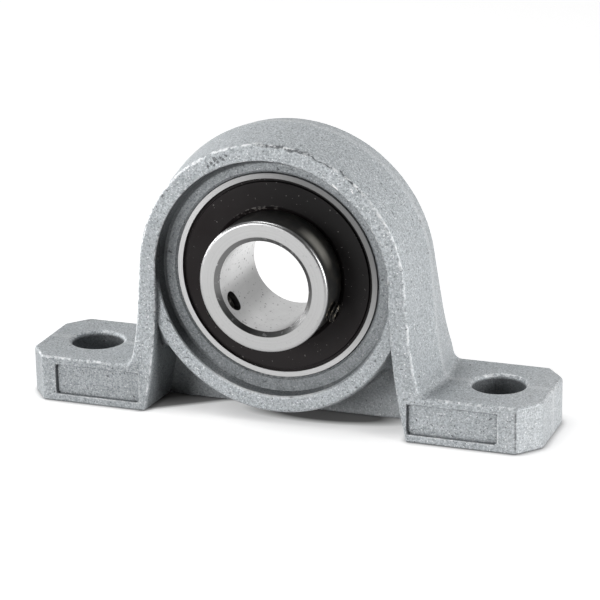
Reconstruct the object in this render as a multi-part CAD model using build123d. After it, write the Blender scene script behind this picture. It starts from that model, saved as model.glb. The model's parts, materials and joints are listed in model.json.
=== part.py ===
from build123d import *
import os
from math import cos, radians, sin, sqrt

# A small pillow block bearing: a die-cast housing on two feet carries a ball bearing insert whose
# spherical outside lets the shaft align itself. Millimetres. The origin is on the base plane, under
# the shaft axis and midway along the bolt line. X runs along the base, Y along the shaft with the
# front at -Y, and Z is up.

# Base and feet
base_length = 70.3
base_width = 16.0
foot_height = 6.25
foot_corner = 2.6            # chamfer of the foot's corners, along the base
foot_corner_depth = 3.2      # the same chamfer, across the base
foot_corner_rounding = 1.0
front_rounding = 0.4         # front outline of the feet, legs and dome
end_rounding = 0.4
base_rounding = 0.3
bolt_from_end = 7.15
bolt_hole_radius = 3.5
bolt_rim_rounding = 0.5
panel_length = 11.9          # sunk panel on the front of each foot
panel_height = 4.1
panel_depth = 0.45
panel_from_base = 1.1
panel_from_end = (4.5, 5.1)   # left foot, right foot
panel_corner = 0.5

# Arch: the dome and its two legs
axis_height = 19.65
dome_front_radius = 17.95    # outline at the front face, which is flush with the feet
dome_bulge = 1.15            # growth of that outline up to the mould's parting plane
leg_flare = 4.7              # lean of the legs' outsides, in degrees
leg_bend_height = 14.5       # below it the outsides curve out to the feet
leg_outside_curve = 50.0     # radius of that curve
dome_back = 3.2              # back face of the dome, behind the bolt line
gusset_above_axis = 2.0      # where the legs' backs start to slope out to the base's back
gusset_above_crease = 0.8
gusset_top_rounding = 5.0
gusset_bottom_rounding = 2.5
parting_rounding = 3.0       # softens the parting line
back_rounding = 0.6          # back outline of the feet, legs and dome
leg_foot_rounding = 1.2
opening_radius = 15.78       # inside of the arch at the front face
leg_inside_curve = 85.0      # radius of the legs' curved insides
opening_draft = 0.065        # how much the opening narrows for each millimetre of depth

# Boss ring and web between the legs
boss_step = 0.8              # the boss ring's front stands this far behind the arch's front
boss_radius = 17.95
boss_draft = 0.03
web_front = 0.3              # front of the web, ahead of the bolt line
web_thickness = 3.0
pocket_top_rounding = 1.3    # where the boss runs into the legs
boss_edge = 0.3
inside_rounding = 0.25       # front edge of the arch's inside

# Insert: spherical outer ring, long inner ring
insert_ahead = 1.5           # the insert's centre plane, ahead of the bolt line
sphere_radius = 14.15
outer_ring_width = 8.0
shelf_rise = 0.35            # cone of the shelf around the outer ring
shelf_radius = 15.43
bore_radius = 6.0
inner_ring_radius = 8.65
inner_ring_front = 8.9       # front face, ahead of the insert's centre plane
inner_ring_back = 4.0
bore_chamfer_front = (0.6, 0.45)   # radial, axial
bore_chamfer_back = 0.35
ring_edge = 0.4
seat_chamfer = 0.3

# Balls, raceways and cage
ball_count = 8
ball_radius = 2.381
pitch_radius = 10.0
raceway_radius = 2.452
outer_shoulder_radius = 11.45
cage_sheet = 0.35
cage_inner_radius = 9.2
cage_outer_radius = 10.8
rivet_radius = 0.35
rivet_head_radius = 0.58
rivet_head_height = 0.2

# Seals
seal_seat_radius = 12.92
seal_thickness = 0.8
seal_below_face = 0.15
seal_rim_width = 0.4
seal_rim_step = 0.3
core_sheet = 0.3
core_inner_radius = 9.7
core_flange_height = 0.45
lip_width = 0.5
lip_height = 0.25

# Set screws
screw_radius = 1.32
screw_length = 3.0
screw_back_off = 0.65        # clear of the shaft at rest
screw_ahead = 6.2            # ahead of the insert's centre plane
screw_angles = (-148.0, -21.0)
socket_across_flats = 1.5
socket_depth = 1.3
screw_end_chamfer = 0.3

# Clearances
seat_clearance = 0.03        # insert in the spherical seat
ball_clearance = 0.02        # ball in the raceways
pocket_clearance = 0.09      # ball in the cage
lip_clearance = 0.03         # seal lip on the inner ring
screw_clearance = 0.03
slot_clearance = 0.2         # outer ring in the loading slots

# Derived places
front = -base_width / 2
back = base_width / 2
centre_y = -insert_ahead
half_ring = outer_ring_width / 2
seat_radius = sphere_radius + seat_clearance
near = 0.01
gusset_top = axis_height + gusset_above_axis
gusset_bottom = foot_height + leg_foot_rounding + gusset_above_crease
bolt_spacing = base_length - 2 * bolt_from_end
outer_ring_front = centre_y - half_ring
shaft_axis = Axis((0, 0, axis_height), (0, 1, 0))
axial_section = Plane.XY.offset(axis_height)
margin = 5.0                 # how far a cutting solid runs past the faces it cuts


def at_depth(y):
    """Upright plane across the shaft at depth y, with its own Y axis upwards."""
    return Plane((0, y, 0), x_dir=(1, 0, 0), z_dir=(0, -1, 0))


def turned(section):
    """Solid of revolution about the shaft axis; the section is drawn as radius against depth."""
    return revolve(axial_section * section, axis=shaft_axis)


def turned_polygon(points):
    return turned(make_face(Polyline(*points, close=True)))


def dome_outline(radius, y):
    """Outside of the arch at depth y: a round top, and legs that lean out, then curve out to the feet."""
    lean = radians(leg_flare)
    top_x, top_z = radius * cos(lean), axis_height + radius * sin(lean)
    bend_z = leg_bend_height
    bend_x = top_x + (top_z - bend_z) * sin(lean) / cos(lean)
    curve_x = bend_x + leg_outside_curve * cos(lean)
    curve_z = bend_z + leg_outside_curve * sin(lean)
    foot_z = -margin
    half_z = (bend_z + foot_z) / 2
    half_x = curve_x - sqrt(leg_outside_curve**2 - (curve_z - half_z) ** 2)
    foot_x = curve_x - sqrt(leg_outside_curve**2 - (curve_z - foot_z) ** 2)
    edges = (
        ThreePointArc((top_x, top_z), (0, axis_height + radius), (-top_x, top_z))
        + Line((-top_x, top_z), (-bend_x, bend_z))
        + ThreePointArc((-bend_x, bend_z), (-half_x, half_z), (-foot_x, foot_z))
        + Line((-foot_x, foot_z), (foot_x, foot_z))
        + ThreePointArc((foot_x, foot_z), (half_x, half_z), (bend_x, bend_z))
        + Line((bend_x, bend_z), (top_x, top_z))
    )
    return at_depth(y) * make_face(edges)


def opening_outline(inset, y):
    """Inside of the arch at depth y: a round top, and legs whose insides curve outwards."""
    radius, curve = opening_radius - inset, leg_inside_curve + inset
    curve_x = opening_radius + leg_inside_curve
    foot_z = -margin
    half_drop = (axis_height - foot_z) / 2
    half_x = curve_x - sqrt(curve**2 - half_drop**2)
    foot_x = curve_x - sqrt(curve**2 - (2 * half_drop) ** 2)
    half_z = axis_height - half_drop
    edges = (
        ThreePointArc((radius, axis_height), (0, axis_height + radius), (-radius, axis_height))
        + ThreePointArc((-radius, axis_height), (-half_x, half_z), (-foot_x, foot_z))
        + Line((-foot_x, foot_z), (foot_x, foot_z))
        + ThreePointArc((foot_x, foot_z), (half_x, half_z), (radius, axis_height))
    )
    return at_depth(y) * make_face(edges)


def opening_prism(y_mouth, y_end):
    """The arch's opening from its mouth to y_end, narrowing as the mould's draft asks."""
    past = margin if y_end > y_mouth else -margin
    depth = abs(y_end - y_mouth)
    wide = opening_outline(-opening_draft * margin, y_mouth - past)
    narrow = opening_outline(opening_draft * depth, y_end)
    return loft([wide, narrow], ruled=True)


def arch_body():
    """Dome and legs, widest at the parting plane over the bolt line, cut to their side view."""
    parting = dome_front_radius + dome_bulge
    halves = [
        loft([dome_outline(dome_front_radius, y), dome_outline(parting, 0)], ruled=True)
        for y in (front, back)
    ]
    body = halves[0] + halves[1]
    parting_line = [
        e for e in body.edges()
        if abs(e.center().Y) < 0.01 and e.bounding_box().size.Y < 0.01 and e.bounding_box().max.Z > 0
    ]
    body = fillet(parting_line, parting_rounding)
    return body & side_view()


def side_view():
    """Outline of the arch seen along X: upright front, dome back, and legs that slope out to the base."""
    top = axis_height + dome_front_radius + dome_bulge + margin
    outline = Polyline(
        (front, 0), (front, top), (dome_back, top), (dome_back, gusset_top),
        (back, gusset_bottom), (back, 0), close=True,
    )
    side = make_face(outline)
    side = fillet([v for v in side.vertices() if abs(v.Y - gusset_top) < near], gusset_top_rounding)
    side = fillet([v for v in side.vertices() if abs(v.Y - gusset_bottom) < near], gusset_bottom_rounding)
    return extrude(Plane.YZ.offset(-base_length / 2) * side, base_length)


def foot_block():
    end, inner = base_length / 2, base_length / 2 - foot_corner
    side, inset = base_width / 2, base_width / 2 - foot_corner_depth
    plan = make_face(Polyline(
        (-inner, -side), (inner, -side), (end, -inset), (end, inset),
        (inner, side), (-inner, side), (-end, inset), (-end, -inset), close=True,
    ))
    return extrude(plan, foot_height)


def in_plane(edge, axis, value):
    """True for an edge that lies in the plane where this coordinate has this value."""
    box = edge.bounding_box()
    return abs(getattr(box.min, axis) - value) < near and abs(getattr(box.max, axis) - value) < near


def one_sided(edge):
    """True for an edge that doesn't cross the middle plane."""
    box = edge.bounding_box()
    return box.min.X * box.max.X > 0


def rounded_outline(body):
    """Rounds the crease between legs and feet, then the outline in front, at the back and at the ends."""
    corner_x = base_length / 2 - foot_corner
    crease = [
        e for e in body.edges()
        if in_plane(e, "Z", foot_height) and one_sided(e) and abs(e.center().X) < corner_x
        and not in_plane(e, "Y", front) and not in_plane(e, "Y", back)
    ]
    body = fillet(crease, leg_foot_rounding)
    upper = [e for e in body.edges() if e.bounding_box().min.Z > foot_height - near]
    body = fillet([e for e in upper if in_plane(e, "Y", front)], front_rounding)
    upper = [e for e in body.edges() if e.bounding_box().min.Z > foot_height - near]
    rear = [
        e for e in upper
        if (e.bounding_box().min.Y > dome_back - near and one_sided(e) and abs(e.center().X) < corner_x)
        or (in_plane(e, "Y", dome_back) and e.geom_type == GeomType.CIRCLE)
    ]
    body = fillet(rear, back_rounding)
    ends = [e for e in body.edges() if in_plane(e, "Z", foot_height) and abs(e.center().X) > corner_x]
    body = fillet(ends, end_rounding)
    upright = [
        e for e in body.edges()
        if in_plane(e, "X", e.center().X) and in_plane(e, "Y", e.center().Y)
        and abs(e.center().X) > corner_x - near
    ]
    body = fillet(upright, foot_corner_rounding)
    return fillet([e for e in body.edges() if in_plane(e, "Z", 0)], base_rounding)


def boss(y_from, y_to):
    """Ring that carries the insert, widening towards the web."""
    grown = boss_radius + boss_draft * abs(y_to - y_from)
    inwards = 1 if y_to > y_from else -1
    profile = Polyline(
        (0, y_from), (boss_radius - boss_edge, y_from), (boss_radius, y_from + inwards * boss_edge),
        (grown, y_to), (0, y_to), close=True,
    )
    return turned(make_face(profile))


def pockets():
    """Space between the legs: shallow over the boss, deep beside it, at the front and at the back."""
    web_face, web_rear = -web_front, web_thickness - web_front
    front_space = opening_prism(front, web_face) - boss(front + boss_step, web_face)
    back_space = opening_prism(back, web_rear) - boss(dome_back, web_rear)
    return [rounded_tops(front_space), back_space]


def rounded_tops(space):
    """Rounds the narrow upper ends of the pockets, where the boss runs into the legs."""
    tops = [
        e for e in space.edges()
        if one_sided(e) and e.bounding_box().size.Y > (base_width / 2 - boss_step) / 2
        and abs(e.center().Z - axis_height) < boss_radius and e.center().Z > 0
        and boss_radius - 1 < sqrt(e.center().X ** 2 + (e.center().Z - axis_height) ** 2) < boss_radius + 1
    ]
    return fillet(tops, pocket_top_rounding)


def seat():
    """Recess, shelf and spherical seat for the insert, with the loading slots at the back."""
    shelf_front = outer_ring_front - shelf_rise
    lead_in_front = outer_ring_front + seat_chamfer
    recess = turned_polygon([
        (0, front - margin), (opening_radius, front - margin), (opening_radius, front),
        (shelf_radius, shelf_front), (sphere_at(lead_in_front) + seat_chamfer, outer_ring_front),
        (sphere_at(lead_in_front), lead_in_front), (0, lead_in_front),
    ])
    lead_in_back = dome_back - seat_chamfer
    rear_radius = sphere_at(lead_in_back)
    rear = turned_polygon([
        (0, lead_in_back), (rear_radius, lead_in_back), (rear_radius + seat_chamfer, dome_back),
        (rear_radius + seat_chamfer, back), (0, back),
    ])
    ball_space = Pos(0, centre_y, axis_height) * Sphere(seat_radius)
    slot_height = outer_ring_width + 2 * slot_clearance
    slot = Pos(0, (centre_y + back) / 2, axis_height) * Box(2 * seat_radius, back - centre_y, slot_height)
    slot_round = turned_polygon([(0, centre_y), (seat_radius, centre_y), (seat_radius, back), (0, back)])
    return [recess, rear, ball_space, slot & slot_round]


def sphere_at(y):
    """Radius of the spherical seat at depth y."""
    return sqrt(seat_radius**2 - (y - centre_y) ** 2)


def bolt_holes():
    """The two bolt holes, each with a rounded rim that sinks into the foot's top."""
    rim_radius = bolt_hole_radius + bolt_rim_rounding
    rim_low = foot_height - bolt_rim_rounding
    bend = bolt_rim_rounding * (1 - cos(radians(45)))
    section = make_face(
        Polyline((rim_radius, foot_height), (rim_radius, foot_height + margin), (0, foot_height + margin),
                 (0, -margin), (bolt_hole_radius, -margin), (bolt_hole_radius, rim_low))
        + ThreePointArc((bolt_hole_radius, rim_low), (bolt_hole_radius + bend, foot_height - bend),
                        (rim_radius, foot_height))
    )
    hole = revolve(Plane.XZ * section, axis=Axis.Z)
    return [Pos(side * bolt_spacing / 2, 0, 0) * hole for side in (-1, 1)]


def panels():
    """Shallow sunk panels on the fronts of the feet."""
    sunk = None
    for side, from_end in zip((-1, 1), panel_from_end):
        middle_x = side * (base_length / 2 - from_end - panel_length / 2)
        middle_z = panel_from_base + panel_height / 2
        outline = at_depth(front + panel_depth) * Pos(middle_x, middle_z) * RectangleRounded(
            panel_length, panel_height, panel_corner)
        panel = extrude(outline, panel_depth + margin)
        sunk = panel if sunk is None else sunk + panel
    return sunk


def housing():
    body = rounded_outline(arch_body() + foot_block())
    body -= pockets()
    body -= seat()
    inside = [
        e for e in body.edges()
        if in_plane(e, "Y", front) and abs(e.center().X) < dome_front_radius
        and e.bounding_box().max.Z < axis_height + opening_radius + near and e.bounding_box().size.Z > axis_height / 2
    ]
    body = fillet(inside, inside_rounding)
    body -= bolt_holes()
    return body - panels()


def outer_ring():
    face_radius = sqrt(sphere_radius**2 - half_ring**2)
    seat_depth = seal_below_face + seal_thickness
    low, high = centre_y - half_ring, centre_y + half_ring
    edges = (
        ThreePointArc((face_radius, low), (sphere_radius, centre_y), (face_radius, high))
        + Polyline(
            (face_radius, high), (seal_seat_radius, high), (seal_seat_radius, high - seat_depth),
            (outer_shoulder_radius, high - seat_depth), (outer_shoulder_radius, low + seat_depth),
            (seal_seat_radius, low + seat_depth), (seal_seat_radius, low), (face_radius, low),
        )
    )
    groove_centre = pitch_radius + ball_radius + ball_clearance - raceway_radius
    section = make_face(edges) - Pos(groove_centre, centre_y) * Circle(raceway_radius)
    return turned(section)


def inner_ring():
    low, high = centre_y - inner_ring_front, centre_y + inner_ring_back
    radial, axial = bore_chamfer_front
    section = make_face(Polyline(
        (bore_radius, low + axial), (bore_radius + radial, low), (inner_ring_radius, low),
        (inner_ring_radius, high), (bore_radius + bore_chamfer_back, high),
        (bore_radius, high - bore_chamfer_back), close=True,
    ))
    corners = [v for v in section.vertices() if abs(v.X - inner_ring_radius) < near]
    section = fillet(corners, ring_edge)
    groove_centre = pitch_radius - ball_radius - ball_clearance + raceway_radius
    ring = turned(section - Pos(groove_centre, centre_y) * Circle(raceway_radius))
    tapped = Pos(0, 0, inner_ring_radius) * Cylinder(screw_radius + screw_clearance, inner_ring_radius)
    return ring - [radially(angle, tapped) for angle in screw_angles]


def radially(angle, solid):
    """Puts a solid drawn along +Z on the radius at this angle, at the depth of the set screws."""
    place = Location((0, centre_y - screw_ahead, axis_height)) * Rot(0, 90 - angle, 0)
    return place * solid


def set_screw(angle):
    blank = Cylinder(screw_radius, screw_length, align=(Align.CENTER, Align.CENTER, Align.MIN))
    ends = [e for e in blank.edges() if e.geom_type == GeomType.CIRCLE]
    blank = chamfer(ends, screw_end_chamfer)
    socket = extrude(RegularPolygon(socket_across_flats / 2, 6, major_radius=False), socket_depth)
    blank -= Pos(0, 0, screw_length - socket_depth) * socket
    cup = Cone(screw_radius - screw_end_chamfer - 0.2, 0.2, 0.5, align=(Align.CENTER, Align.CENTER, Align.MIN))
    blank -= cup
    return radially(angle, Pos(0, 0, bore_radius + screw_back_off) * blank)


def ball_places():
    step = 360 / ball_count
    return [90 + step * k for k in range(ball_count)]


def on_pitch(angle):
    """Place on the pitch circle. Each is turned the same way to its own radius."""
    a = radians(angle)
    place = Location((pitch_radius * cos(a), centre_y, axis_height + pitch_radius * sin(a)))
    return place * Rot(0, 30 - angle, 0)


def ball(angle):
    return on_pitch(angle) * Sphere(ball_radius)


def cage_half(side):
    """Pressed ribbon: flats between the balls and a round pocket over each, side -1 at the front."""
    pocket = ball_radius + pocket_clearance
    y_flat = centre_y + side * cage_sheet
    y_far = centre_y + side * (pocket + cage_sheet + margin)
    band = turned_polygon([
        (cage_inner_radius, centre_y), (cage_outer_radius, centre_y),
        (cage_outer_radius, y_far), (cage_inner_radius, y_far),
    ])
    ribbon = turned_polygon([
        (cage_inner_radius, centre_y), (cage_outer_radius, centre_y),
        (cage_outer_radius, y_flat), (cage_inner_radius, y_flat),
    ])
    caps = [band & (on_pitch(angle) * Sphere(pocket + cage_sheet)) for angle in ball_places()]
    hollows = [on_pitch(angle) * Sphere(pocket) for angle in ball_places()]
    shanks = [rivet_shank(angle) for angle in ball_places()]
    return ribbon + caps - hollows - shanks


def rivet_angle(angle):
    return angle + 180 / ball_count


def rivet_shank(angle):
    place = on_pitch(rivet_angle(angle)) * Rot(90, 0, 0)
    return place * Cylinder(rivet_radius, 2 * cage_sheet)


def cage_rivets():
    rivets = []
    for angle in ball_places():
        place = on_pitch(rivet_angle(angle)) * Rot(90, 0, 0)
        rivet = place * Cylinder(rivet_radius, 2 * cage_sheet)
        for side in (-1, 1):
            middle = side * (cage_sheet + rivet_head_height / 2)
            rivet += place * Pos(0, 0, middle) * Cylinder(rivet_head_radius, rivet_head_height)
        rivets.append(rivet)
    return Compound(children=[r.solid() for r in rivets])


def seal_points(side):
    """Depth measured from the outer ring's face into the insert, on the side -1 front or 1 back."""
    face = centre_y + side * half_ring
    return lambda depth: face - side * depth


def seal(side):
    at = seal_points(side)
    outside = seal_below_face
    inside = seal_below_face + seal_thickness
    lip = inner_ring_radius + lip_clearance
    rubber = turned_polygon([
        (seal_seat_radius, at(inside)), (seal_seat_radius, at(outside + seal_rim_step)),
        (seal_seat_radius - seal_rim_width, at(outside + seal_rim_step)),
        (seal_seat_radius - seal_rim_width - 0.1, at(outside)),
        (lip + lip_width, at(outside)), (lip, at(outside + lip_height)),
        (lip, at(inside - lip_height)), (lip + lip_width, at(inside)),
    ])
    return rubber - seal_core(side)


def seal_core(side):
    at = seal_points(side)
    inside = seal_below_face + seal_thickness
    outer = seal_seat_radius - seal_rim_width - 0.05
    return turned_polygon([
        (core_inner_radius, at(inside)), (outer, at(inside)), (outer, at(inside - core_flange_height)),
        (outer - core_sheet, at(inside - core_flange_height)), (outer - core_sheet, at(inside - core_sheet)),
        (core_inner_radius, at(inside - core_sheet)),
    ])


def parts():
    made = {
        "housing": housing(),
        "outer_ring": outer_ring(),
        "inner_ring": inner_ring(),
        "cage_front": cage_half(-1),
        "cage_rear": cage_half(1),
        "cage_rivets": cage_rivets(),
        "front_seal": seal(-1),
        "front_seal_core": seal_core(-1),
        "rear_seal": seal(1),
        "rear_seal_core": seal_core(1),
    }
    for number, angle in enumerate(ball_places(), 1):
        made[f"ball_{number}"] = ball(angle)
    for number, angle in enumerate(screw_angles, 1):
        made[f"set_screw_{number}"] = set_screw(angle)
    return made


os.makedirs("parts", exist_ok=True)
for name, solid in parts().items():
    export_step(solid, f"parts/{name}.step")
    print(name, round(solid.volume, 2))
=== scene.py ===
# A pillow block bearing on a white studio floor, seen from the photograph's angle.
import json
import math

import bmesh
import bpy
from mathutils import Matrix, Vector


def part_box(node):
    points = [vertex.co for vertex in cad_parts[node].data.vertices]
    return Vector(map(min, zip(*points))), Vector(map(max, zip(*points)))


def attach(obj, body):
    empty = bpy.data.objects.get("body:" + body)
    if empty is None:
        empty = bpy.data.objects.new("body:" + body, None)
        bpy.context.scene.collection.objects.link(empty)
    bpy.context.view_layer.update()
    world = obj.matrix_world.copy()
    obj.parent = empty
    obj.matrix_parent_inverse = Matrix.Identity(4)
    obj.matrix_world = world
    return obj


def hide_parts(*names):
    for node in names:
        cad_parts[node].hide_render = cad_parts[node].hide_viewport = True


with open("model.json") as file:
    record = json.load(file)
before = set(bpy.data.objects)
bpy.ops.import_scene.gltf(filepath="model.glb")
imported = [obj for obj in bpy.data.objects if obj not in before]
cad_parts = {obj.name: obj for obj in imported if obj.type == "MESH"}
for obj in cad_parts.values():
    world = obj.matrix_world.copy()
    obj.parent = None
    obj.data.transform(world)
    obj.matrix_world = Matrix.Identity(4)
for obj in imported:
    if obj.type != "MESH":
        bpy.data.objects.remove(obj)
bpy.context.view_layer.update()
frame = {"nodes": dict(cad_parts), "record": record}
nodes = frame["nodes"]
mounts = {mount["name"]: mount for mount in frame["record"]["mounts"]}
MM = 0.001

# Places in metres, taken from the frame
AXIS_Z = mounts["shaft_bore"]["pos_m"][2]
INNER_LOW, INNER_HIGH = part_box("inner_ring")
SCREW_LOW, SCREW_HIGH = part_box("set_screw_1")
SCREW_Y = (SCREW_LOW[1] + SCREW_HIGH[1]) / 2

# Places in mm, as ramp, stripe and near take them
FRONT_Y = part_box("housing")[0][1] / MM
RING_FRONT = INNER_LOW[1] / MM
RING_RADIUS = INNER_HIGH[0] / MM
BORE_RADIUS = mounts["shaft_bore"]["dims"]["r_mm"]
BOLT_X = mounts["bolt_holes"]["dims"]["spacing_x_mm"] / 2
HOLE_RADIUS = mounts["bolt_holes"]["dims"]["hole_r_mm"]
FOOT_TOP = 6.25
FOOT_CORNER = 32.55            # where the chamfer of the feet starts, from the middle
DOME_RADIUS = 17.95            # the dome's front outline, and the boss's outside behind it
OPENING_RADIUS = 15.78         # inside of the arch at the front
PANELS = ((-24.70, 3.15), (24.10, 3.15))   # middles of the sunk panels
PANEL_HALF = (5.95, 2.05)

# Colours and constants of the zinc
GRAIN_DARK = (0.190, 0.214, 0.230, 1)
GRAIN_LIGHT = (0.725, 0.760, 0.785, 1)
GRAIN_FINE = (0.545, 0.574, 0.594, 1)
MOTTLE = (0.385, 0.412, 0.432, 1)
SCRATCHED = (0.97, 0.97, 0.98, 1)
# Colour of the painted shade in the zinc's hollows and shaded places
SHADE_TONE = (0.045, 0.05, 0.054, 1)
DEEPEST_SHADE = 0.85                    # most painted shade that a hollow holds
HOLLOW_REACH = 5.0             # mm within which walls make a hollow
ROUNDING = (0.35, 0.93, 0.05)  # part of the normal that a rounded edge turns to a face, and its softness
ZINC_METAL = 0.25
GRAIN_DEPTH = 0.11 * MM

# Colours of the other materials
OIL = (0.075, 0.068, 0.058, 1)
# painted highlight on the inner ring's outside
OUTSIDE_HIGHLIGHT = (0.33, 0.32, 0.29, 1)
RUBBER_DARK = (0.0085, 0.0062, 0.0064, 1)
RUBBER_LIGHT = (0.0140, 0.0098, 0.0104, 1)
DUST = (0.30, 0.29, 0.28, 1)
# painted glint on the seal's lip
LIP_GLINT = (0.20, 0.19, 0.18, 1)
BLACKENED = (0.012, 0.012, 0.012, 1)
BLACK_OILY = (0.035, 0.031, 0.026, 1)
# painted glints on the set screws' thread crests
CREST_GLINT = (0.34, 0.30, 0.24, 1)
TURNING_DEPTH = 0.004 * MM
SKIN_DEPTH = 0.01 * MM         # of rubber, strip steel and blackened steel

# Set screws
PITCH = 0.5 * MM
THREAD_DEPTH = 0.6134 * PITCH
CREST_HALF, ROOT_FROM = 1 / 16, 3 / 8      # of a metric thread, as parts of the pitch from a crest's middle
SCREW_CHAMFER = 0.3 * MM
SOCKET_FLATS, SOCKET_DEPTH = 1.5 * MM, 1.3 * MM
CUP_RIM, CUP_BOTTOM, CUP_DEPTH = 0.82 * MM, 0.20 * MM, 0.5 * MM
AROUND = 36                    # points around a screw, a multiple of 6 for the socket's corners
STEPS_PER_TURN = 10

# Floor, in mm apart from its size
FLOOR_HALF = 3.0
FLOOR_COLOUR = (0.6, 0.6, 0.6, 1)
FLOOR_GLOW = 0.68
FLOOR_CONTACT = 0.5
CONTACT_REACH, SEAM_REACH = 8.0, 1.2
LAMPS_END, WHITE_FROM = 250.0, 450.0       # from the middle
LEG_EDGE_X, LEG_EDGE_Y = -17.7, -7.0       # a point on the straight edge of the left leg's shadow
LEG_EDGE_SLOPE = 0.74
OVAL_X, OVAL_Y = 5.5, -1.6                 # middle of the shadow under the boss
OVAL_LEAN = 0.06
OVAL_HALF_X, OVAL_HALF_Y = 9.2, 2.75

# Light: strength of the fill, and of the room and the bright sweep that metal mirrors
FILL = 0.0
ROOM = 0.0
SWEEP = 1.0
SWEEP_FROM, SWEEP_TO = -0.1, 0.7
LAMP_TARGET = (0.0, 0.0, 0.018)
LAMPS = {
    "lamp_front_left": ((-0.35, -0.55, 0.12), 0.30, 2.3),
    "lamp_left": ((-0.65, 0.0, 0.16), 0.30, 2.5),
    "lamp_right": ((0.64, -0.10, 0.15), 0.30, 3.25),
    "lamp_top": ((-0.17, 0.0, 0.63), 0.30, 1.5),
}

# Camera, as fitted to the photograph
AZIMUTH, ELEVATION, ROLL = (math.radians(degrees) for degrees in (20.539, 18.634, -1.007))
CAMERA_DISTANCE = 0.34011
CAMERA_SIDE, CAMERA_RISE = 1.04 * MM, -0.33 * MM
CAMERA_AIM = (0, 0, 0.015)
FOCAL_PX, PICTURE_PX = 2617.4, 600.0
SENSOR_MM = 36.0


def grey(value):
    return (value, value, value, 1.0)


def pale(value):
    """Bare zinc, a little blue; also the colour of painted highlights and painted light."""
    return (value, value + 0.01, value + 0.02, 1.0)


def soot_and_shadow(value):
    """Dark pits and cracks in the zinc, and the colour of painted shadow."""
    return (value, value + 0.005, value + 0.01, 1.0)


def along(start, end, count, radius):
    """Spots in a line from start to end, for a scratch."""
    a, b = Vector(start), Vector(end)
    return [(a + (b - a) * k / (count - 1), radius) for k in range(count)]


# Marks on the housing, each a point and a radius in mm
PITS = [
    ((-7.9, -8.0, 34.2), 0.22), ((-7.5, -8.0, 34.7), 0.26), ((-7.0, -8.0, 35.2), 0.30),
    ((-6.6, -8.0, 34.9), 0.22), ((-6.3, -8.0, 35.5), 0.24), ((-5.9, -8.0, 35.3), 0.20),
    ((-5.5, -8.0, 35.8), 0.20), ((-7.1, -8.0, 34.5), 0.18), ((-14.3, -8.0, 29.8), 0.24),
    ((-14.5, -5.7, 21.6), 0.22), ((17.5, -0.15, 27.0), 0.20), ((13.4, -3.4, 32.4), 0.16),
    ((14.0, -3.4, 31.7), 0.18), ((-29.5, -8.0, 4.6), 0.20), ((8.6, 3.2, 33.0), 0.25),
    ((-18.9, 1.0, 17.0), 0.22), ((30.2, -2.0, 6.0), 0.18), ((-31.2, 3.5, 6.0), 0.20),
    ((2.0, -4.0, 38.4), 0.18),
]
SCRATCHES = (
    along((8.7, -8.0, 33.2), (9.3, -8.0, 32.6), 5, 0.13)
    + along((11.1, -8.0, 32.8), (11.3, -8.0, 32.4), 3, 0.12)
    + along((8.8, -1.1, 36.3), (10.0, -0.6, 35.65), 8, 0.11)
    + along((27.5, -5.5, 6.0), (29.6, -6.1, 6.0), 9, 0.09)
)
DARK_SCRATCHES = (
    along((-15.9, -7.9, 13.9), (-14.9, -7.5, 13.1), 6, 0.13)
    + along((-14.9, -7.3, 13.1), (-13.9, -7.2, 12.4), 6, 0.12)
    + along((-14.9, -7.3, 13.1), (-15.6, -7.3, 12.2), 5, 0.12)
)


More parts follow.
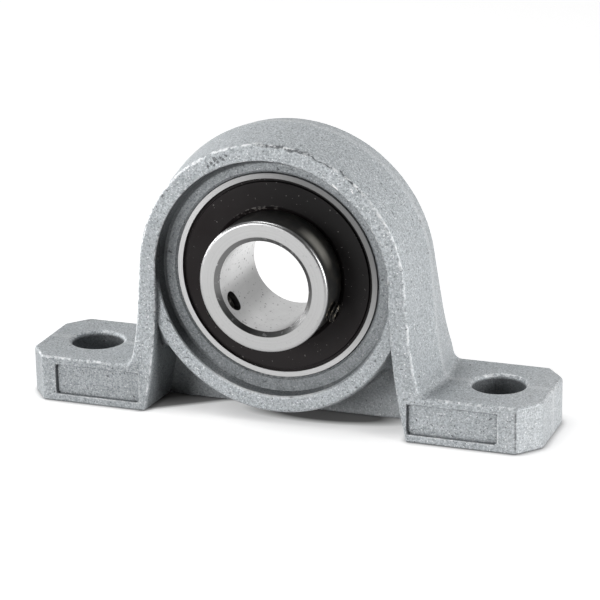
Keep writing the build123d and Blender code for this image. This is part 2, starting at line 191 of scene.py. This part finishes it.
class Graph:
    """A node material: its coordinates, and a colour that is painted in layers."""

    def __init__(self, name):
        self.material = bpy.data.materials.new(name)
        self.material.use_nodes = True
        self.tree = self.material.node_tree
        self.tree.nodes.clear()
        self.output = self.tree.nodes.new("ShaderNodeOutputMaterial")
        self.coords = self.tree.nodes.new("ShaderNodeTexCoord").outputs["Object"]
        self.x, self.y, self.z = self.axes(self.coords)
        self.lift = self.minus(self.z, AXIS_Z)
        self.tone = None

    def add(self, kind, **values):
        node = self.tree.nodes.new("ShaderNode" + kind)
        for key, value in values.items():
            setattr(node, key, value)
        return node

    def link(self, source, target):
        self.tree.links.new(source, target)

    def put(self, socket, value):
        """A link where the value is another node's output, and a plain value otherwise."""
        if hasattr(value, "is_output"):
            self.link(value, socket)
        else:
            socket.default_value = value

    def noise(self, scale, detail=2.0, roughness=0.5, vector=None):
        node = self.add("TexNoise")
        self.link(vector or self.coords, node.inputs["Vector"])
        node.inputs["Scale"].default_value = scale
        node.inputs["Detail"].default_value = detail
        node.inputs["Roughness"].default_value = roughness
        return node.outputs["Fac"]

    def stretched(self, scale):
        node = self.add("Mapping")
        self.link(self.coords, node.inputs["Vector"])
        node.inputs["Scale"].default_value = scale
        return node.outputs["Vector"]

    def math(self, operation, a, b=0.0):
        node = self.add("Math", operation=operation)
        self.put(node.inputs[0], a)
        self.put(node.inputs[1], b)
        return node.outputs["Value"]

    def plus(self, a, b):
        return self.math("ADD", a, b)

    def minus(self, a, b):
        return self.math("SUBTRACT", a, b)

    def size_of(self, value):
        return self.math("ABSOLUTE", value)

    def times(self, first, *others):
        for value in others:
            first = self.math("MULTIPLY", first, value)
        return first

    def most(self, first, *others):
        for value in others:
            first = self.math("MAXIMUM", first, value)
        return first

    def span(self, value, low, high, out_low=0.0, out_high=1.0):
        """Goes from out_low at low to out_high at high, and stays level beyond them."""
        node = self.add("MapRange", clamp=True)
        self.link(value, node.inputs["Value"])
        limits = {"From Min": low, "From Max": high, "To Min": out_low, "To Max": out_high}
        for key, number in limits.items():
            node.inputs[key].default_value = number
        return node.outputs["Result"]

    def band(self, value, low, high, soft):
        """1 between low and high, falling to 0 over the width soft outside them."""
        return self.times(self.span(value, low - soft, low), self.span(value, high + soft, high))

    def ramp(self, value, low, high, out_low=0.0, out_high=1.0):
        """The span of a length, with low and high in mm."""
        return self.span(value, low * MM, high * MM, out_low, out_high)

    def stripe(self, value, low, high, soft):
        """The band of a length, in mm."""
        return self.band(value, low * MM, high * MM, soft * MM)

    def moved(self, value, noise, reach):
        """A length that the noise moves to and fro, reach mm from end to end."""
        return self.plus(value, self.times(self.minus(noise, 0.5), reach * MM))

    def mix(self, factor, a, b):
        node = self.add("Mix", data_type="RGBA")
        self.put(node.inputs["Factor"], factor)
        self.put(node.inputs["A"], a)
        self.put(node.inputs["B"], b)
        return node.outputs["Result"]

    def paint(self, mask, colour):
        self.tone = self.mix(mask, self.tone, colour)

    def bump(self, height, distance, strength=1.0):
        node = self.add("Bump")
        self.link(height, node.inputs["Height"])
        node.inputs["Distance"].default_value = distance
        node.inputs["Strength"].default_value = strength
        return node.outputs["Normal"]

    def axes(self, vector):
        node = self.add("SeparateXYZ")
        self.link(vector, node.inputs["Vector"])
        return node.outputs["X"], node.outputs["Y"], node.outputs["Z"]

    def joined(self, x, y):
        node = self.add("CombineXYZ")
        self.link(x, node.inputs["X"])
        self.link(y, node.inputs["Y"])
        return node.outputs["Vector"]

    def length(self, vector):
        node = self.add("VectorMath", operation="LENGTH")
        self.link(vector, node.inputs[0])
        return node.outputs["Value"]

    def near(self, places, noise, ragged):
        """1 near any of the places, each a point and a radius; the noise makes the rims ragged. All in mm."""
        spots = []
        for point, radius in places:
            node = self.add("VectorMath", operation="DISTANCE")
            self.link(self.coords, node.inputs[0])
            node.inputs[1].default_value = Vector(point) * MM
            distance = self.moved(node.outputs["Value"], noise, ragged)
            spots.append(self.ramp(distance, radius, radius * 0.75))
        return self.most(*spots)

    def off_axis(self):
        """Distance from the shaft axis."""
        squares = self.plus(self.math("POWER", self.x, 2.0), self.math("POWER", self.lift, 2.0))
        return self.math("SQRT", squares)

    def around_axis(self):
        """Angle round the shaft axis, from the right, in radians."""
        return self.math("ARCTAN2", self.lift, self.x)

    def openness(self, reach, samples, only_local=False):
        """1 in the open, and less where walls stand within reach, in mm."""
        node = self.add("AmbientOcclusion", samples=samples, only_local=only_local)
        node.inputs["Distance"].default_value = reach * MM
        return node.outputs["AO"]

    def shader(self, roughness, metallic=0.0, normal=None, **constants):
        node = self.add("BsdfPrincipled")
        self.put(node.inputs["Base Color"], self.tone)
        self.put(node.inputs["Roughness"], roughness)
        self.put(node.inputs["Metallic"], metallic)
        if normal is not None:
            self.link(normal, node.inputs["Normal"])
        for key, value in constants.items():
            self.put(node.inputs[key.replace("_", " ")], value)
        self.link(node.outputs["BSDF"], self.output.inputs["Surface"])
        return self.material


class Casting(Graph):
    """Blasted die casting. Each method paints one layer over those before it, or gives one mask of painted
    shade.
    """

    def __init__(self, name):
        super().__init__(name)
        _, self.facing_y, self.facing_z = self.axes(self.add("NewGeometry").outputs["Normal"])
        self.out = self.off_axis()
        self.uneven = self.noise(420.0, 3.0, 0.7)
        self.chips = self.noise(1500.0, 3.0, 0.7)

    def behind_front(self, low, high):
        """Goes from 0 at low to 1 at high, both in mm behind the front face."""
        return self.ramp(self.y, FRONT_Y + low, FRONT_Y + high)

    def grain(self):
        """Bright and dark grains, soft mottling, sparkles and pinholes."""
        grain = self.noise(4200.0, 2.0, 0.65)
        self.tone = self.mix(self.span(grain, 0.33, 0.67), GRAIN_DARK, GRAIN_LIGHT)
        self.paint(self.span(self.noise(7600.0, 2.0, 0.6), 0.35, 0.65, 0.0, 0.5), GRAIN_FINE)
        self.paint(self.span(self.noise(110.0, 3.0, 0.55), 0.3, 0.7, 0.0, 0.3), MOTTLE)
        self.paint(self.span(self.noise(4800.0, 1.0), 0.66, 0.72), pale(0.92))
        self.paint(self.times(self.span(self.noise(2600.0, 1.0), 0.31, 0.26), 0.8), soot_and_shadow(0.09))
        return grain

    def chipped_edges(self):
        """The front outline and the feet's upper rims are chipped where the mould closed."""
        front = self.times(self.band(self.size_of(self.facing_y), *ROUNDING), self.behind_front(1.2, 0.6))
        front = self.times(front, self.ramp(self.size_of(self.x), FOOT_CORNER - 0.3, FOOT_CORNER - 0.6))
        foot_rim = self.stripe(self.z, FOOT_TOP - 0.6, FOOT_TOP + 0.05, 0.1)
        rim = self.times(self.band(self.facing_z, *ROUNDING), foot_rim)
        edge = self.most(self.times(front, self.ramp(self.z, 0.4, 1.2)), rim)
        edge = self.times(edge, self.span(self.noise(260.0, 2.0, 0.6), 0.38, 0.55, 0.25, 1.0))
        self.paint(self.times(edge, self.span(self.chips, 0.47, 0.57, 0.0, 0.75)), pale(0.93))
        self.paint(self.times(edge, self.span(self.chips, 0.42, 0.36, 0.0, 0.45)), soot_and_shadow(0.12))
        return edge

    def flash_line(self):
        """Over the dome: rough and bright at the left, a dark crack at the middle, chips at the right."""
        line = self.moved(self.out, self.uneven, 1.1)
        dome = self.times(self.ramp(self.z, 21.5, 23.5), self.behind_front(0.9, 0.6))
        sides = self.most(self.ramp(self.x, 1.0, -1.0, 0.0, 0.75), self.ramp(self.x, 11.8, 13.0, 0.0, 0.4))
        bright = self.times(self.stripe(line, DOME_RADIUS - 0.15, DOME_RADIUS - 0.04, 0.08), sides)
        self.paint(self.times(dome, bright, self.span(self.chips, 0.42, 0.56, 0.1, 1.0)), pale(0.95))
        thick = self.stripe(line, DOME_RADIUS - 0.21, DOME_RADIUS - 0.03, 0.10)
        thick = self.times(thick, self.stripe(self.x, -0.3, 4.5, 1.5))
        thin = self.stripe(line, DOME_RADIUS - 0.11, DOME_RADIUS - 0.05, 0.08)
        thin = self.times(thin, self.stripe(self.x, 3.0, 11.8, 1.0))
        crack = self.times(dome, self.most(thick, thin), self.span(self.chips, 0.60, 0.45, 0.0, 1.0))
        self.paint(self.times(crack, 0.75), soot_and_shadow(0.06))
        return crack

    def panel_rims(self):
        """Sunk panels: painted shadow along the upper and left inner edges, and a painted highlight broken by
        chips along the lower and right ones.
        """
        face = self.behind_front(0.7, 0.5)
        for middle_x, middle_z in PANELS:
            beside = self.minus(self.x, middle_x * MM)
            above = self.minus(self.z, middle_z * MM)
            past = self.most(
                self.minus(self.size_of(beside), PANEL_HALF[0] * MM),
                self.minus(self.size_of(above), PANEL_HALF[1] * MM),
            )
            past = self.moved(past, self.uneven, 0.25)
            upper_left = self.most(self.ramp(above, 1.7, 1.9), self.ramp(beside, -5.5, -5.7))
            # Painted shadow inside the upper and left rims
            rim_shadow = self.times(self.stripe(past, -0.12, 0.0, 0.06), face, upper_left)
            self.paint(self.times(rim_shadow, 0.75), soot_and_shadow(0.05))
            lower_right = self.most(self.ramp(above, -1.6, -1.8), self.ramp(beside, 5.4, 5.6))
            # Painted highlight, broken by chips, along the lower and right rims
            rim_highlight = self.times(self.stripe(past, 0.04, 0.14, 0.05), face, lower_right)
            self.paint(self.times(rim_highlight, self.span(self.chips, 0.45, 0.6, 0.1, 0.7)), pale(0.9))

    def seams(self):
        """A dark seam on the right foot's upright corner, and the mould's seam over the left foot's end."""
        corner = self.stripe(self.x, FOOT_CORNER - 0.2, FOOT_CORNER - 0.05, 0.08)
        corner = self.times(corner, self.behind_front(0.3, 0.1))
        self.paint(self.times(corner, self.span(self.chips, 0.42, 0.55, 0.1, 0.85)), soot_and_shadow(0.05))
        across = self.plus(self.y, self.times(self.uneven, 0.4 * MM))
        seam = self.times(self.stripe(across, -0.30, -0.18, 0.06), self.ramp(self.x, -31.4, -31.8))
        self.paint(self.times(seam, 0.35), pale(0.85))

    def boss_edge(self):
        """The boss's inner edge catches the light at the bottom."""
        edge = self.stripe(self.out, OPENING_RADIUS - 0.23, OPENING_RADIUS + 0.12, 0.2)
        edge = self.times(edge, self.times(self.behind_front(1.1, 0.6), self.ramp(self.z, 7.5, 5.0)))
        edge = self.times(edge, self.ramp(self.x, 10.0, 4.0, 0.25, 1.0))
        self.paint(self.times(edge, self.span(self.chips, 0.38, 0.6, 0.35, 0.95)), pale(0.95))
        return edge

    def lit_right_end(self):
        # Painted light: the right foot's end is made paler
        self.paint(self.ramp(self.x, 29.0, 33.5, 0.0, 0.14), pale(0.92))

    def marks(self):
        """Single pits and scratches."""
        ragged = self.noise(3200.0, 2.0, 0.7)
        dark = self.near(PITS + DARK_SCRATCHES, ragged, 0.8)
        self.paint(self.times(dark, 0.7), soot_and_shadow(0.08))
        self.paint(self.near(SCRATCHES, ragged, 0.2), SCRATCHED)
        return dark

    def parting_line(self):
        """Paler on the outsides of the arch, where the two halves of the mould met."""
        across = self.plus(self.y, self.times(self.uneven, 0.6 * MM))
        parting = self.times(self.stripe(across, 0.0, 0.8, 0.2), self.ramp(self.out, 17.6, 18.2))
        self.paint(self.times(parting, 0.22), pale(0.85))

    def paint_shade(self, boss_edge):
        """Painted shade in every hollow but the boss's bright edge, and in the places that are darker than
        others.
        """
        hollow = self.span(self.openness(HOLLOW_REACH, 8, only_local=True), 0.25, 0.85, DEEPEST_SHADE, 0.0)
        amount = self.times(self.most(hollow, self.arch_shade()), self.span(boss_edge, 0.0, 1.0, 1.0, 0.1))
        # Painted shade on the tops of the feet, fading out over the right foot's end
        foot_top = self.stripe(self.z, FOOT_TOP - 0.05, FOOT_TOP + 0.05, 0.05)
        foot_top = self.times(foot_top, self.ramp(self.x, 24.5, 20.5, 0.0, 0.08))
        # Painted contact shade along the bottom edges
        base = self.ramp(self.z, 0.30, 0.08, 0.0, 0.55)
        hidden = (self.pocket_shade(), self.cove_shadow(), self.left_foot_shade(), self.hole_shade())
        self.paint(self.most(amount, foot_top, base, *hidden), SHADE_TONE)

    def arch_shade(self):
        """Painted shade inside the arch: its wall, and the shelf round the outer ring."""
        inside = self.ramp(self.out, OPENING_RADIUS + 0.17, OPENING_RADIUS + 0.02)
        inside = self.times(inside, self.behind_front(0.1, 0.3))
        wall = self.times(inside, self.stripe(self.out, OPENING_RADIUS - 0.68, OPENING_RADIUS + 0.02, 0.3))
        less_shade_low = self.ramp(self.lift, -14.5, -9.0, 0.5, 0.86)
        less_shade_right = self.ramp(self.x, 15.0, 8.0, 0.6, 1.0)
        wall = self.times(wall, self.times(less_shade_low, less_shade_right))
        shelf_left = self.ramp(self.x, -6.0, -13.0, 0.0, 0.42)
        shelf_low = self.ramp(self.lift, 13.0, -13.0, 0.22, 0.6)
        return self.most(wall, self.times(inside, self.most(shelf_left, shelf_low)))

    def pocket_shade(self):
        """Painted shade between the boss and the legs, more at the left."""
        pocket = self.ramp(self.out, DOME_RADIUS - 0.05, DOME_RADIUS + 0.15)
        pocket = self.times(self.behind_front(0.3, 1.0), pocket, self.ramp(self.size_of(self.x), 18.6, 18.3))
        pocket = self.times(pocket, self.times(self.ramp(self.z, 11.0, 9.0), self.ramp(self.y, 1.2, 0.4)))
        return self.times(pocket, self.ramp(self.x, -14.0, 14.0, 0.54, 0.22))

    def cove_shadow(self):
        """Painted shadow where the boss runs into the right leg."""
        cove = self.stripe(self.out, DOME_RADIUS - 0.07, DOME_RADIUS + 0.65, 0.4)
        cove = self.times(cove, self.times(self.behind_front(0.1, 0.4), self.ramp(self.z, 12.5, 10.8)))
        return self.times(cove, self.ramp(self.x, 4.0, 10.0, 0.0, 0.65))

    def left_foot_shade(self):
        """The left foot's front and end lie in the shade."""
        upright = self.span(self.facing_z, 0.6, 0.3)
        lighter_end = self.ramp(self.x, -33.5, -29.0, 0.6, 1.0)
        front = self.times(self.ramp(self.x, -16.5, -18.5, 0.0, 0.22), lighter_end)
        front = self.times(front, self.behind_front(0.8, 0.5))
        front = self.times(front, self.times(upright, self.ramp(self.z, 8.0, 6.2)))
        return self.most(front, self.times(self.ramp(self.x, -32.5, -33.0, 0.0, 0.3), upright))

    def hole_shade(self):
        """Painted shade inside the bolt holes, below their rounded rims."""
        from_bolt = self.length(self.joined(self.minus(self.size_of(self.x), BOLT_X * MM), self.y))
        wall = self.ramp(from_bolt, HOLE_RADIUS + 0.06, HOLE_RADIUS + 0.03)
        return self.times(self.times(wall, self.ramp(self.z, FOOT_TOP - 0.35, FOOT_TOP - 0.7)), 0.78)


def zinc_casting():
    g = Casting("zinc_casting")
    grain = g.grain()
    edge = g.chipped_edges()
    crack = g.flash_line()
    g.panel_rims()
    g.seams()
    boss_edge = g.boss_edge()
    g.lit_right_end()
    marks = g.marks()
    g.parting_line()
    g.paint_shade(boss_edge)
    coarse = g.noise(900.0, 3.0, 0.6)
    height = g.plus(g.times(grain, 0.7), g.times(coarse, 0.6))
    height = g.minus(height, g.times(g.most(marks, crack), 1.5))
    height = g.plus(height, g.times(edge, g.chips))
    normal = g.bump(height, GRAIN_DEPTH)
    return g.shader(g.span(coarse, 0.3, 0.7, 0.45, 0.62), ZINC_METAL, normal, Specular_IOR_Level=0.5)


class GroundSteel(Graph):
    """Ground ring steel with turning lines and smudges."""

    def __init__(self, name, value):
        super().__init__(name)
        self.value = value
        self.radius = self.off_axis()
        self.lines = self.noise(9000.0, 2.0, 0.6, self.joined(self.radius, self.y))
        self.smudge = self.noise(260.0, 3.0, 0.6)
        self.tone = self.mix(self.span(self.lines, 0.3, 0.7), grey(value * 0.93), grey(value * 1.05))
        self.paint(self.span(self.smudge, 0.35, 0.7, 0.0, 0.3), grey(value * 0.85))

    def shade_bore(self):
        """Soft shading and pits on the bore's wall: light above, a darker band, light again at the bottom."""
        wall = self.ramp(self.radius, BORE_RADIUS + 0.06, BORE_RADIUS + 0.02)
        self.paint(self.times(wall, self.ramp(self.lift, -2.5, 2.0, 0.0, 0.72)), grey(0.95))
        self.paint(self.times(wall, self.stripe(self.lift, -4.0, -2.5, 1.8)), grey(self.value * 0.76))
        self.paint(self.times(wall, self.ramp(self.lift, -4.6, -5.6, 0.0, 0.2)), grey(0.95))
        few_outside = self.ramp(self.radius, BORE_RADIUS + 0.1, BORE_RADIUS, 0.25, 1.0)
        pits = self.times(self.span(self.noise(2400.0, 1.0), 0.34, 0.28), few_outside)
        self.paint(self.times(pits, 0.75), grey(0.10))

    def darken_chamfer(self):
        """The chamfer round the bore's front is dark, with a few bright chips."""
        limit, depth = BORE_RADIUS + 0.6, RING_FRONT + 0.5
        chamfer = self.ramp(self.radius, limit + 0.06, limit - 0.02)
        chamfer = self.times(chamfer, self.ramp(self.y, depth + 0.05, depth - 0.02))
        chips = self.span(self.noise(1300.0, 3.0, 0.7), 0.60, 0.70)
        self.paint(chamfer, self.mix(chips, grey(0.17), grey(0.45)))

    def oil_and_reflection_outside(self):
        """The ring's outside behind its face: oil over a painted dark reflection of the seal, and a painted
        highlight at the upper right.
        """
        limit, depth = RING_RADIUS - 0.08, RING_FRONT + 0.4
        oily_reflection = self.times(self.ramp(self.radius, limit - 0.03, limit), self.ramp(self.y, depth, depth + 0.1))
        # Oil over a painted dark reflection of the seal
        oil = self.mix(self.span(self.noise(700.0, 3.0, 0.65), 0.45, 0.8), grey(0.03), OIL)
        # Painted highlight at the upper right
        glow = self.band(self.around_axis(), 0.55, 0.82, 0.25)
        glow = self.times(glow, self.stripe(self.y, -8.6, -7.7, 1.0))
        self.paint(oily_reflection, self.mix(self.times(glow, 0.9), oil, OUTSIDE_HIGHLIGHT))
        return oily_reflection

    def finished(self, rough, metal=1.0):
        normal = self.bump(self.lines, TURNING_DEPTH, 0.3)
        return self.shader(self.span(self.smudge, 0.3, 0.7, rough * 0.85, rough * 1.2), metal, normal)


def outer_ring_steel():
    """The outer ring's face, with painted shade towards the upper right."""
    g = GroundSteel("ring_steel", 0.47)
    # Painted shade towards the upper right
    g.paint(g.ramp(g.plus(g.x, g.lift), -2.0, 16.0, 0.0, 0.75), grey(0.06))
    return g.finished(0.36)


def inner_ring_steel():
    g = GroundSteel("inner_ring_steel", 0.43)
    g.shade_bore()
    g.darken_chamfer()
    oily_reflection = g.oil_and_reflection_outside()
    return g.finished(0.34, g.span(oily_reflection, 0.0, 1.0, 1.0, 0.3))


def rubber():
    """Black rubber, with painted shade towards the upper right, dust, and a painted glint along a stretch of
    the lip.
    """
    g = Graph("seal_rubber")
    cloud = g.noise(150.0, 3.0, 0.6)
    g.tone = g.mix(g.span(cloud, 0.3, 0.7), RUBBER_DARK, RUBBER_LIGHT)
    # Painted shade towards the upper right
    g.paint(g.times(g.ramp(g.plus(g.x, g.lift), 3.0, 15.0), 0.7), grey(0.003))
    g.paint(g.times(g.span(g.noise(2900.0, 1.0), 0.745, 0.77), 0.45), DUST)
    # Painted glint along a stretch of the lip
    lip = g.times(g.stripe(g.off_axis(), 8.85, 9.25, 0.1), g.band(g.around_axis(), 1.62, 2.10, 0.12))
    g.paint(g.times(lip, g.span(g.noise(2200.0, 2.0, 0.7), 0.5, 0.6, 0.0, 0.8)), LIP_GLINT)
    normal = g.bump(g.noise(2600.0, 3.0, 0.6), SKIN_DEPTH, 0.3)
    return g.shader(g.span(cloud, 0.3, 0.7, 0.45, 0.65), 0.0, normal, Specular_IOR_Level=0.21)


def strip_steel():
    g = Graph("strip_steel")
    streak = g.noise(900.0, 3.0, 0.6, g.stretched((1.0, 6.0, 1.0)))
    g.tone = g.mix(g.span(streak, 0.3, 0.7), grey(0.42), grey(0.56))
    return g.shader(g.span(streak, 0.3, 0.7, 0.28, 0.42), 1.0, g.bump(streak, SKIN_DEPTH, 0.3))


def ball_steel():
    g = Graph("ball_steel")
    haze = g.noise(300.0, 2.0, 0.5)
    g.tone = g.mix(g.span(haze, 0.3, 0.7), grey(0.72), grey(0.78))
    return g.shader(g.span(haze, 0.3, 0.7, 0.06, 0.1), 1.0)


def black_screw(name, angle):
    """Blackened steel with traces of oil, and painted glints on the thread's crests at the outer end."""
    g = Graph(name)
    outwards = g.plus(g.times(g.x, math.cos(angle)), g.times(g.lift, math.sin(angle)))
    beside = g.minus(g.times(g.lift, math.cos(angle)), g.times(g.x, math.sin(angle)))
    turn = g.math("ARCTAN2", g.minus(g.y, SCREW_Y), beside)
    phase = g.plus(g.math("DIVIDE", outwards, PITCH), g.math("DIVIDE", turn, 2 * math.pi))
    crest = g.span(g.size_of(g.minus(g.math("FRACT", phase), 0.5)), 0.22, 0.42)
    oil = g.noise(1400.0, 3.0, 0.6)
    g.tone = g.mix(g.span(oil, 0.3, 0.7), BLACKENED, BLACK_OILY)
    # Painted glints on the thread's crests at the outer end
    g.paint(g.times(crest, g.span(oil, 0.52, 0.62), g.ramp(outwards, 8.0, 8.4)), CREST_GLINT)
    return g.shader(g.span(oil, 0.3, 0.7, 0.25, 0.4), 0.7, g.bump(oil, SKIN_DEPTH, 0.4))


def thread_groove(phase):
    """Depth of a metric thread, 0 at its crest and 1 at its root; the crest is where the phase is whole."""
    off = abs(phase - round(phase))
    return min(max((off - CREST_HALF) / (ROOT_FROM - CREST_HALF), 0.0), 1.0)


def screw_loops(start, length, radius, turns):
    """The screw's rings of points from the cup's bottom to the socket's: how far along, and each radius."""
    sector = math.pi / 3
    hexagon = [SOCKET_FLATS / 2 / math.cos((turn % sector) - sector / 2) for turn in turns]
    loops = [(CUP_DEPTH, [CUP_BOTTOM] * AROUND), (0.0, [CUP_RIM] * AROUND)]
    steps = round(length / PITCH * STEPS_PER_TURN)
    for k in range(steps + 1):
        depth = length * k / steps
        limit = radius - max(0.0, SCREW_CHAMFER - depth, SCREW_CHAMFER - (length - depth))
        phases = [(start + depth) / PITCH + turn / (2 * math.pi) for turn in turns]
        loops.append((depth, [min(limit, radius - THREAD_DEPTH * thread_groove(phase)) for phase in phases]))
    return loops + [(length, hexagon), (length - SOCKET_DEPTH, hexagon)]


def threaded_screw(node, angle, start, length, radius):
    """Set screw on the radius at this angle: chamfered thread, hexagon socket outside, cup point inside."""
    turns = [2 * math.pi * k / AROUND for k in range(AROUND)]

    def place(depth, r, turn):
        out, beside = start + depth, r * math.cos(turn)
        x = out * math.cos(angle) - beside * math.sin(angle)
        lift = out * math.sin(angle) + beside * math.cos(angle)
        return (x, SCREW_Y + r * math.sin(turn), AXIS_Z + lift)

    mesh = bmesh.new()
    rows = []
    for depth, radii in screw_loops(start, length, radius, turns):
        rows.append([mesh.verts.new(place(depth, r, turn)) for r, turn in zip(radii, turns)])
    for a, b in zip(rows, rows[1:]):
        for k in range(AROUND):
            mesh.faces.new((a[k], a[k - 1], b[k - 1], b[k]))
    for row in (rows[0], rows[-1]):
        mesh.faces.new(row)
    bmesh.ops.recalc_face_normals(mesh, faces=mesh.faces)
    data = bpy.data.meshes.new("threaded_" + node)
    mesh.to_mesh(data)
    mesh.free()
    data.materials.append(black_screw(node, angle))
    obj = bpy.data.objects.new("threaded_" + node, data)
    bpy.context.scene.collection.objects.link(obj)
    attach(obj, node)
    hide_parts(node)
    return data.materials[0]


def screw_with_thread(name):
    """Builds the threaded screw over this plain one, between the same ends, and returns its material."""
    low, high = (Vector(corner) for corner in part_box(name))
    middle = (low + high) / 2
    angle = math.atan2(middle.z - AXIS_Z, middle.x)
    points = [vertex.co for vertex in nodes[name].data.vertices]
    outwards = [p.x * math.cos(angle) + (p.z - AXIS_Z) * math.sin(angle) for p in points]
    return threaded_screw(name, angle, min(outwards), max(outwards) - min(outwards), (high.y - low.y) / 2)


def dress():
    """Gives each node its material."""
    finish = {"housing": zinc_casting(), "outer_ring": outer_ring_steel(), "inner_ring": inner_ring_steel()}
    seal, strip, ball = rubber(), strip_steel(), ball_steel()
    for name in nodes:
        if name.endswith("seal"):
            finish[name] = seal
        elif name.startswith("ball"):
            finish[name] = ball
        elif name.startswith("set_screw"):
            finish[name] = screw_with_thread(name)
        elif name.startswith("cage") or name.endswith("core"):
            finish[name] = strip
    for name, obj in nodes.items():
        obj.data.materials.clear()
        obj.data.materials.append(finish[name])


def floor_light(g):
    """Light left by the shadows of the left leg, with a straight edge, and of the boss, a long oval."""
    from_edge_x = g.minus(g.x, LEG_EDGE_X * MM)
    past_edge = g.minus(g.minus(g.y, LEG_EDGE_Y * MM), g.times(from_edge_x, LEG_EDGE_SLOPE))
    leg = g.times(g.stripe(g.x, -18.3, -7.5, 1.0), g.ramp(g.y, 1.0, 0.0))
    leg = g.times(g.ramp(past_edge, -0.9, 0.6), leg)
    leg = g.times(leg, g.ramp(past_edge, 0.5, 4.5, 0.83, 0.975))
    beside = g.minus(g.x, OVAL_X * MM)
    ahead = g.minus(g.minus(g.y, OVAL_Y * MM), g.times(beside, OVAL_LEAN))
    across = g.math("POWER", g.math("DIVIDE", beside, OVAL_HALF_X * MM), 2.0)
    deep = g.math("POWER", g.math("DIVIDE", ahead, OVAL_HALF_Y * MM), 2.0)
    under = g.span(g.math("SQRT", g.plus(across, deep)), 1.3, 0.75)
    return g.minus(1.0, g.most(leg, g.times(under, 0.88)))


def floor_material():
    """White to the camera, with painted contact shadows, painted shadows of the left leg and the boss, and
    the shadows that the lamps leave on it.
    """
    g = Graph("studio_floor")
    path = g.add("LightPath").outputs
    seen = g.most(path["Is Camera Ray"], path["Is Glossy Ray"], path["Is Transmission Ray"])
    lit = floor_light(g)
    # Painted contact shadows, darker where walls stand near
    contact = g.span(g.openness(CONTACT_REACH, 12), 0.12, 0.6, FLOOR_CONTACT, 1.0)
    contact = g.times(contact, g.span(g.openness(SEAM_REACH, 12), 0.5, 0.9, 0.35, 1.0), lit)
    far = g.ramp(g.length(g.coords), LAMPS_END, WHITE_FROM, 0.0, 1.0 - FLOOR_GLOW)
    shown = g.plus(g.times(seen, FLOOR_GLOW, contact), g.times(path["Is Camera Ray"], far))
    diffuse = g.add("BsdfDiffuse")
    g.link(g.mix(lit, (0, 0, 0, 1), FLOOR_COLOUR), diffuse.inputs["Color"])
    glow = g.add("Emission")
    glow.inputs["Color"].default_value = (1, 1, 1, 1)
    g.link(shown, glow.inputs["Strength"])
    both = g.add("AddShader")
    g.link(diffuse.outputs["BSDF"], both.inputs[0])
    g.link(glow.outputs["Emission"], both.inputs[1])
    g.link(both.outputs["Shader"], g.output.inputs["Surface"])
    return g.material


def studio_floor():
    mesh = bpy.data.meshes.new("floor")
    corners = [(x * FLOOR_HALF, y * FLOOR_HALF, 0) for x, y in ((-1, -1), (1, -1), (1, 1), (-1, 1))]
    mesh.from_pydata(corners, [], [(0, 1, 2, 3)])
    floor = bpy.data.objects.new("floor", mesh)
    bpy.context.scene.collection.objects.link(floor)
    floor.data.materials.append(floor_material())


def lamp(name, position, size, power):
    data = bpy.data.lights.new(name, "AREA")
    data.shape = "DISK"
    data.size = size
    data.energy = power
    obj = bpy.data.objects.new(name, data)
    bpy.context.scene.collection.objects.link(obj)
    obj.location = position
    obj.rotation_euler = (Vector(LAMP_TARGET) - Vector(position)).to_track_quat("-Z", "Y").to_euler()


def world_light():
    """The camera sees white. Metal mirrors a bright sweep behind the object and a darker room in front."""
    world = bpy.data.worlds.new("studio")
    bpy.context.scene.world = world
    world.use_nodes = True
    tree = world.node_tree
    tree.nodes.clear()
    output = tree.nodes.new("ShaderNodeOutputWorld")
    path = tree.nodes.new("ShaderNodeLightPath")
    split = tree.nodes.new("ShaderNodeSeparateXYZ")
    tree.links.new(tree.nodes.new("ShaderNodeTexCoord").outputs["Generated"], split.inputs["Vector"])
    sweep = tree.nodes.new("ShaderNodeMapRange")
    tree.links.new(split.outputs["Y"], sweep.inputs["Value"])
    limits = {"From Min": SWEEP_FROM, "From Max": SWEEP_TO, "To Min": ROOM, "To Max": SWEEP}
    for key, number in limits.items():
        sweep.inputs[key].default_value = number
    shaders = []
    for strength in (FILL, ROOM, 1.0):
        shader = tree.nodes.new("ShaderNodeBackground")
        shader.inputs["Color"].default_value = (1, 1, 1, 1)
        shader.inputs["Strength"].default_value = strength
        shaders.append(shader)
    fill, mirrored, white = shaders
    tree.links.new(sweep.outputs["Result"], mirrored.inputs["Strength"])
    shown = fill.outputs[0]
    rays = (("Is Glossy Ray", mirrored), ("Is Camera Ray", white), ("Is Transmission Ray", white))
    for ray, shader in rays:
        mix = tree.nodes.new("ShaderNodeMixShader")
        tree.links.new(path.outputs[ray], mix.inputs[0])
        tree.links.new(shown, mix.inputs[1])
        tree.links.new(shader.outputs[0], mix.inputs[2])
        shown = mix.outputs[0]
    tree.links.new(shown, output.inputs["Surface"])


def photo_camera():
    level = math.cos(ELEVATION)
    back = Vector((math.sin(AZIMUTH) * level, -math.cos(AZIMUTH) * level, math.sin(ELEVATION)))
    right = Vector((math.cos(AZIMUTH), math.sin(AZIMUTH), 0.0))
    up = back.cross(right)
    place = Vector(CAMERA_AIM) + back * CAMERA_DISTANCE + right * CAMERA_SIDE + up * CAMERA_RISE
    turned = right * math.cos(ROLL) + up * math.sin(ROLL)
    above = up * math.cos(ROLL) - right * math.sin(ROLL)
    data = bpy.data.cameras.new("camera")
    data.sensor_fit = "HORIZONTAL"
    data.sensor_width = SENSOR_MM
    data.lens = FOCAL_PX * SENSOR_MM / PICTURE_PX
    data.clip_start = 0.01
    data.clip_end = 20.0
    obj = bpy.data.objects.new("camera", data)
    bpy.context.scene.collection.objects.link(obj)
    basis = Matrix((turned, above, back)).transposed().to_4x4()
    obj.matrix_world = Matrix.Translation(place) @ basis
    bpy.context.scene.camera = obj


dress()
studio_floor()
for name, (position, size, power) in LAMPS.items():
    lamp(name, position, size, power)
world_light()
photo_camera()
bpy.context.scene.view_settings.view_transform = "Standard"
